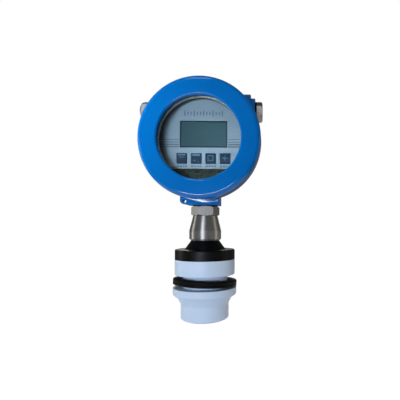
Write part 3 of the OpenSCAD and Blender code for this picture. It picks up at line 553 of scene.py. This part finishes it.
# Ink on the faceplate, screen printed: a dark violet blue, uneven in specks of 0.67 mm.
dark_ink, tree, shader = new_material("dark_screen_ink", {"Roughness": 0.5})
place = add(tree, "ShaderNodeTexCoord", {})
grain = add(tree, "ShaderNodeTexNoise", {
    "Vector": place.outputs["Object"], "Scale": per_metre(0.67), "Detail": 2.0})
tint = add(tree, "ShaderNodeMix", {
    mix_share: grain.outputs[0], mix_first: linear("#23283F"), mix_second: linear("#323853")},
    data_type="RGBA")
wire(tree, shader, {"Base Color": tint.outputs[mix_colour]})


def printed(marks, front, film=0.03):
    """Thin ink films on a face of the head, each as (centre x, centre y, width, height) in mm."""
    bm = bmesh.new()
    for x, y, width, height in marks:
        size = Matrix.Diagonal((width * mm, height * mm, film * mm, 1))
        spot = Matrix.Translation((x * mm, y * mm, (front + film / 2) * mm))
        bmesh.ops.create_cube(bm, size=1, matrix=head @ spot @ size)
    return bm


key_count = 4
key_pitch = 14.8
key_y = -17.4
key_xs = [panel_x + (step - (key_count - 1) / 2) * key_pitch for step in range(key_count)]

# Four stripes on each side of the panel, as (y, height).
stripe_rows = ((2.1, 0.7), (-0.5, 0.8), (-3.0, 1.1), (-5.3, 1.1))
stripe_reach = 34.0
stripe_length = 17.0
stripes = [(panel_x + side * stripe_reach, y, stripe_length, height)
           for side in (-1, 1) for y, height in stripe_rows]

# A scale of ticks over the panel, each third one long.
tick_pitch = 3.2
tick_y = 28.9
tick_width = 1.1
long_tick = 5.4
short_tick = 3.2
ticks_each_side = 6
scale_ticks = [(panel_x + step * tick_pitch, tick_y, tick_width, long_tick if step % 3 == 0 else short_tick)
               for step in range(-ticks_each_side, ticks_each_side + 1)]

# A row of dashes under each key, as (shift in x, width).
label_dashes = ((-4.1, 2.6), (-0.9, 2.4), (1.9, 1.6), (4.4, 2.2))
label_y = -25.5
label_height = 1.7
key_labels = [(x + shift, label_y, width, label_height) for x in key_xs for shift, width in label_dashes]
prints = printed(stripes + scale_ticks + key_labels, plate_front)
make_piece("faceplate_print", prints, dark_ink, "frame", "dark_plastic")

# The bars of each key's mark, as (shift in x, shift in y, width, height).
key_icons = [
    [(0, 3.6, 7.6, 1.2), (0, 1.2, 5.0, 0.6)],
    [(0, 3.4, 8.4, 2.2), (-1.6, -2.2, 2.2, 0.6), (2.4, -3.4, 1.2, 0.7)],
    [(0, 2.8, 5.6, 0.6), (0, -2.2, 5.6, 0.6), (-2.5, 0.3, 0.6, 4.4), (2.5, 0.3, 0.6, 4.4)],
    [(0, 0.4, 5.4, 0.7), (0, 0.4, 0.7, 5.4)],
]
for number, (x, icon) in enumerate(zip(key_xs, key_icons), start=1):
    key = "key_%d" % number
    body = "key_%d_body" % number
    make_piece("key_%d_cap" % number, merged(key, 0.4), key_blue, body, "key_plastic", key)
    marks = [(x + dx, key_y + dy, width, height) for dx, dy, width, height in icon]
    make_piece("key_%d_mark" % number, printed(marks, key_front), teal_key_bars, body, "key_plastic")


# Screw cover. A turned and powder coated aluminium ring that screws on the case over a seal, with
# a thick glass window clamped in it between a gasket and a bright threaded ring.

window_radius = 41
cover_radius = 60.45
cover_front = 39
cover_back = 15
cover_thread_radius = 55
cover_shoulder = 25.2
glass_bore = 46.7
lip_back = 35

cover = turned([(window_radius, cover_front, 2.2), (cover_radius, cover_front, 4.5),
                (cover_radius, cover_back, 1.0), (cover_thread_radius, cover_back, 0.4),
                (cover_thread_radius, cover_shoulder, 0), (glass_bore, cover_shoulder, 0.3),
                (glass_bore, lip_back, 0.3), (window_radius, lip_back, 0.5)], steps=200)
bmesh.ops.transform(cover, matrix=head, verts=cover.verts[:])
make_piece("front_cover_turned", cover, blue_coat, "screw_cover", "blue_paint", "front_cover")

# Float glass, polished: clear with a trace of green, mirroring the lamps. Lamp light passes straight
# through it, so that it casts no shadow on the faceplate.
glass_tint = linear("#F4FAF8")
clear_glass, tree, shader = new_material("clear_float_glass", {
    "Base Color": glass_tint, "Roughness": 0.0, "IOR": 1.5, "Transmission Weight": 1.0})
path = add(tree, "ShaderNodeLightPath", {})
see_through = add(tree, "ShaderNodeBsdfTransparent", {"Color": glass_tint})
lamp_mix = add(tree, "ShaderNodeMixShader", {
    0: path.outputs["Is Shadow Ray"], 1: shader.outputs[0], 2: see_through.outputs[0]})
wire(tree, tree.nodes["Material Output"], {"Surface": lamp_mix.outputs[0]})

glass_radius = 46.5
glass_back = 28
glass_front = 34
glass = turned([(0, glass_back, 0), (glass_radius, glass_back, 0.5), (glass_radius, glass_front, 0.5),
                (0, glass_front, 0)])
bmesh.ops.transform(glass, matrix=head, verts=glass.verts[:])
make_piece("window_glass_pane", glass, clear_glass, "screw_cover", "clear_glass", "window_glass")

# Aluminium, turned and left bare: a pale warm metal, brighter and duller in streaks of 1.25 mm.
bare_aluminium, tree, shader = new_material("bare_aluminium", {
    "Base Color": linear("#CFC9BE"), "Metallic": 0.6})
place = add(tree, "ShaderNodeTexCoord", {})
streak = add(tree, "ShaderNodeTexNoise", {
    "Vector": place.outputs["Object"], "Scale": per_metre(1.25), "Detail": 3.0})
gloss = add(tree, "ShaderNodeMapRange", {
    "Value": streak.outputs[0], **noise_middle, "To Min": 0.22, "To Max": 0.4})
wire(tree, shader, {"Roughness": gloss.outputs[0]})

retainer_bore = 41.9
retainer_radius = 46.6
retainer_back = 24.4
retainer = turned([(retainer_bore, retainer_back, 0.3), (retainer_radius, retainer_back, 0.3),
                   (retainer_radius, glass_back, 0.2), (retainer_bore, glass_back, 0.3)])
bmesh.ops.transform(retainer, matrix=head, verts=retainer.verts[:])
make_piece("glass_retainer_ring", retainer, bare_aluminium, "screw_cover", "bare_aluminium",
           "glass_retainer")
dress(black_rubber, "cover_o_ring", "window_gasket")


# Cable gland and blind plug. Nickel plated brass hexagons close the two entries: the gland on the
# left grips a cable in its rubber seal, and the plug on the right sits on a black washer. Both are
# plated alike; the gland's tints are made brighter as painted light, a painted reflection of a lamp.

def plated(name, dark, light):
    """Nickel plate on brass: a soft metal sheen, streaked every 2 mm between two tints."""
    material, tree, shader = new_material(name, {"Metallic": 1.0})
    place = add(tree, "ShaderNodeTexCoord", {})
    streak = add(tree, "ShaderNodeTexNoise", {
        "Vector": place.outputs["Object"], "Scale": per_metre(2), "Detail": 3.0})
    tint = add(tree, "ShaderNodeMix", {
        mix_share: streak.outputs[0], mix_first: linear(dark), mix_second: linear(light)},
        data_type="RGBA")
    gloss = add(tree, "ShaderNodeMapRange", {
        "Value": streak.outputs[0], **noise_middle, "To Min": 0.44, "To Max": 0.54})
    wire(tree, shader, {"Base Color": tint.outputs[mix_colour], "Roughness": gloss.outputs[0]})
    return material


# The gland's brighter tints are painted light, standing in for a lamp's reflection; the plug's are the
# plating's own colour.
nickel_painted_bright = plated("nickel_plate_painted_bright", "#C4C6C8", "#E2E4E6")
plain_nickel = plated("plain_nickel_plate", "#847E76", "#A09A92")
make_piece("gland_body_plated", merged("gland_body", 0.2), nickel_painted_bright, "frame", "nickel_brass",
           "gland_body")
make_piece("gland_cap_plated", merged("gland_cap", 0.3), nickel_painted_bright, "entry_cap", "nickel_brass",
           "gland_cap")
make_piece("blind_plug_plated", merged("blind_plug", 0.3), plain_nickel, "frame", "nickel_brass",
           "blind_plug")
dress(black_rubber, "gland_washer", "gland_seal", "plug_washer")


# Sealing ring and mounting nut. The loose black rubber ring, with a moulded groove round its rim,
# leans on the flange of the white nut, which is turned from the same plastic as the sensor body.
# The nut runs on the neck's thread and clamps the sensor in its opening.

nut_bore = 24.3
nut_foot = 1
sleeve_radius = 25.5
sleeve_chamfer = 1.0
sleeve_top = 17.1
shoulder_radius = 30.0
flange_radius = 33.8
flange_low = 25.7
flange_top = 34.4

ring_bore = 24.9
ring_radius = 33.9
ring_height = 6.6
groove_middle = 2.7
groove_depth = 0.5
ring_rise = 2.18
ring_lean = 3.6
ring_lean_way = 45

ring = turned([(ring_bore, 0, 0.3), (ring_radius, 0, 1.0), (ring_radius, groove_middle - groove_depth, 0.2),
               (ring_radius - groove_depth, groove_middle, 0.2),
               (ring_radius, groove_middle + groove_depth, 0.2), (ring_radius, ring_height, 1.6),
               (ring_bore, ring_height, 0.3)])
lean = (Matrix.Translation((0, 0, (flange_top + ring_rise) * mm))
        @ Matrix.Rotation(math.radians(ring_lean_way), 4, "Z")
        @ Matrix.Rotation(math.radians(ring_lean), 4, "Y"))
bmesh.ops.transform(ring, matrix=lean, verts=ring.verts[:])
make_piece("sealing_ring_moulded", ring, black_rubber, "loose_ring", "black_rubber", "sealing_ring")

nut = turned([(nut_bore, nut_foot, 0.3), (sleeve_radius - sleeve_chamfer, nut_foot, 0),
              (sleeve_radius, nut_foot + sleeve_chamfer, 0.2), (sleeve_radius, sleeve_top, 1.5),
              (shoulder_radius, flange_low, 0.6), (flange_radius, flange_low, 2.6),
              (flange_radius, flange_top, 0.5), (nut_bore, flange_top, 0.4)])
make_piece("mounting_nut_turned", nut, fluoroplastic, "flange_nut", "white_plastic", "mounting_nut")


# Studio. A white floor that keeps a faint shadow, and a dark tent all round that only reflections
# see. Soft lamps stand low in front, high in front, at both sides and behind, and the camera stands
# low in front, slightly to the right. Sizes and places here are in metres.

scene = bpy.context.scene
scene.view_settings.view_transform = "Standard"


def looked_at(tree):
    """A value of 1 for rays from the camera, off gloss and through glass, and 0 for lamp light."""
    path = add(tree, "ShaderNodeLightPath", {})
    seen = add(tree, "ShaderNodeMath", {
        0: path.outputs["Is Camera Ray"], 1: path.outputs["Is Glossy Ray"]}, operation="MAXIMUM")
    seen = add(tree, "ShaderNodeMath", {
        0: seen.outputs[0], 1: path.outputs["Is Transmission Ray"]}, operation="MAXIMUM")
    return seen.outputs[0]


def bare_tree(holder):
    """The emptied node tree of a material or a world."""
    holder.use_nodes = True
    holder.node_tree.nodes.clear()
    return holder.node_tree


def stage_piece(name, bm, material):
    """Turns a bmesh into a piece of the studio, which isn't part of the object."""
    mesh = bpy.data.meshes.new(name)
    bm.to_mesh(mesh)
    bm.free()
    mesh.materials.append(material)
    piece = bpy.data.objects.new(name, mesh)
    scene.collection.objects.link(piece)
    return piece


# Matt paper: pure white to the eye, but for the small share that takes the part's shadow.
white_share = 0.85
paper_glow = 1.15
floor_paper = bpy.data.materials.new("white_paper")
tree = bare_tree(floor_paper)
share = add(tree, "ShaderNodeMath", {0: looked_at(tree), 1: white_share}, operation="MULTIPLY")
paper = add(tree, "ShaderNodeBsdfDiffuse", {"Color": linear("#F4F4F4")})
white = add(tree, "ShaderNodeEmission", {"Color": linear("#FFFFFF"), "Strength": paper_glow})
mixed = add(tree, "ShaderNodeMixShader", {0: share.outputs[0], 1: paper.outputs[0], 2: white.outputs[0]})
add(tree, "ShaderNodeOutputMaterial", {"Surface": mixed.outputs[0]})

floor_reach = 3.0
bm = bmesh.new()
bmesh.ops.create_grid(bm, x_segments=1, y_segments=1, size=floor_reach)
stage_piece("floor", bm, floor_paper)

# Dark cloth: near black in front of the part, a little lighter behind it.
dark_cloth = bpy.data.materials.new("dark_cloth")
tree = bare_tree(dark_cloth)
place = add(tree, "ShaderNodeTexCoord", {})
depth = add(tree, "ShaderNodeSeparateXYZ", {"Vector": place.outputs["Object"]})
level = add(tree, "ShaderNodeMapRange", {
    "Value": depth.outputs["Y"], "From Min": -0.4, "From Max": 1.6, "To Min": 0.06, "To Max": 0.14})
dull = add(tree, "ShaderNodeEmission", {"Color": linear("#FFFFFF"), "Strength": level.outputs[0]})
add(tree, "ShaderNodeOutputMaterial", {"Surface": dull.outputs[0]})

# A round wall, a roof, and a ring on the floor that leaves the part's own place white.
tent_radius = 1.6
tent_height = 1.8
tent_sides = 64
roof_radius = 1.65
clear_radius = 0.32
cloth = 0.001
bm = bmesh.new()
bmesh.ops.create_cone(bm, cap_ends=False, segments=tent_sides, radius1=tent_radius, radius2=tent_radius,
                      depth=tent_height, matrix=Matrix.Translation((0, 0, tent_height / 2)))
bmesh.ops.create_circle(bm, cap_ends=True, segments=tent_sides, radius=roof_radius,
                        matrix=Matrix.Translation((0, 0, tent_height)))
bmesh.ops.create_cone(bm, cap_ends=False, segments=tent_sides, radius1=clear_radius, radius2=roof_radius,
                      depth=cloth, matrix=Matrix.Translation((0, 0, cloth)))
tent = stage_piece("dark_tent", bm, dark_cloth)
tent.visible_camera = False
tent.visible_diffuse = False
tent.visible_shadow = False

# The room is white where it is seen, and gives only a weak light all round.
room_light = 0.19
room = bpy.data.worlds.new("white_room")
scene.world = room
tree = bare_tree(room)
level = add(tree, "ShaderNodeMapRange", {
    "Value": looked_at(tree), "From Min": 0.0, "From Max": 1.0, "To Min": room_light, "To Max": 1.0})
sky = add(tree, "ShaderNodeBackground", {"Color": linear("#FFFFFF"), "Strength": level.outputs[0]})
add(tree, "ShaderNodeOutputWorld", {"Surface": sky.outputs[0]})


def lamp(name, spot, target, width, height, power, colour, spread=180, mirrored=True):
    """A rectangular soft lamp at a spot, aimed at a target, its beam in degrees and its power in watts."""
    light = bpy.data.lights.new(name, "AREA")
    light.shape = "RECTANGLE"
    light.size = width
    light.size_y = height
    light.energy = power
    light.color = linear(colour)[:3]
    light.spread = math.radians(spread)
    lamp_object = bpy.data.objects.new(name, light)
    aim = Vector(target) - Vector(spot)
    turn = aim.to_track_quat("-Z", "Y").to_matrix().to_4x4()
    lamp_object.matrix_world = Matrix.Translation(spot) @ turn
    lamp_object.visible_glossy = mirrored
    scene.collection.objects.link(lamp_object)


# The near lamp at the left brightens that side of the cover, and stands too close to be mirrored.
lamp("left_softbox", (-0.21, -0.13, 0.23), (-0.03, 0, 0.20), 0.08, 0.12, 0.085, "#FFFFFF",
     spread=60, mirrored=False)
lamp("front_softbox", (-0.27, -1.07, 0.07), (0, 0, 0.13), 0.16, 0.10, 2.5, "#E4EEFF")
lamp("fill_softbox", (-0.08, -1.10, 0.06), (0, 0, 0.13), 0.32, 0.10, 3.4, "#E4EEFF")
lamp("high_softbox", (-0.21, -0.90, 1.00), (0, 0, 0.15), 0.20, 0.20, 1.6, "#FFFFFF")
lamp("right_strip", (0.65, 0.05, 0.16), (0, 0, 0.15), 0.16, 0.4, 0.4, "#FFF0DC")
lamp("left_strip", (-0.65, 0.02, 0.14), (0, 0, 0.14), 0.16, 0.4, 0.75, "#FFFFFF")
lamp("back_softbox", (-0.30, 1.10, 0.60), (0, 0, 0.15), 0.4, 0.4, 2.0, "#FFF4E6")

# The camera looks level along +Y, and its lens is shifted to frame the part as in the photograph.
camera_spot = (0.0672, -0.361, 0.100)
camera_roll = 0.3
camera_data = bpy.data.cameras.new("camera")
camera_data.lens = 29.97
camera_data.shift_x = -0.1684
camera_data.shift_y = 0.0651
camera = bpy.data.objects.new("camera", camera_data)
camera.matrix_world = (Matrix.Translation(camera_spot) @ Matrix.Rotation(math.pi / 2, 4, "X")
                       @ Matrix.Rotation(math.radians(camera_roll), 4, "Z"))
scene.collection.objects.link(camera)
scene.camera = camera
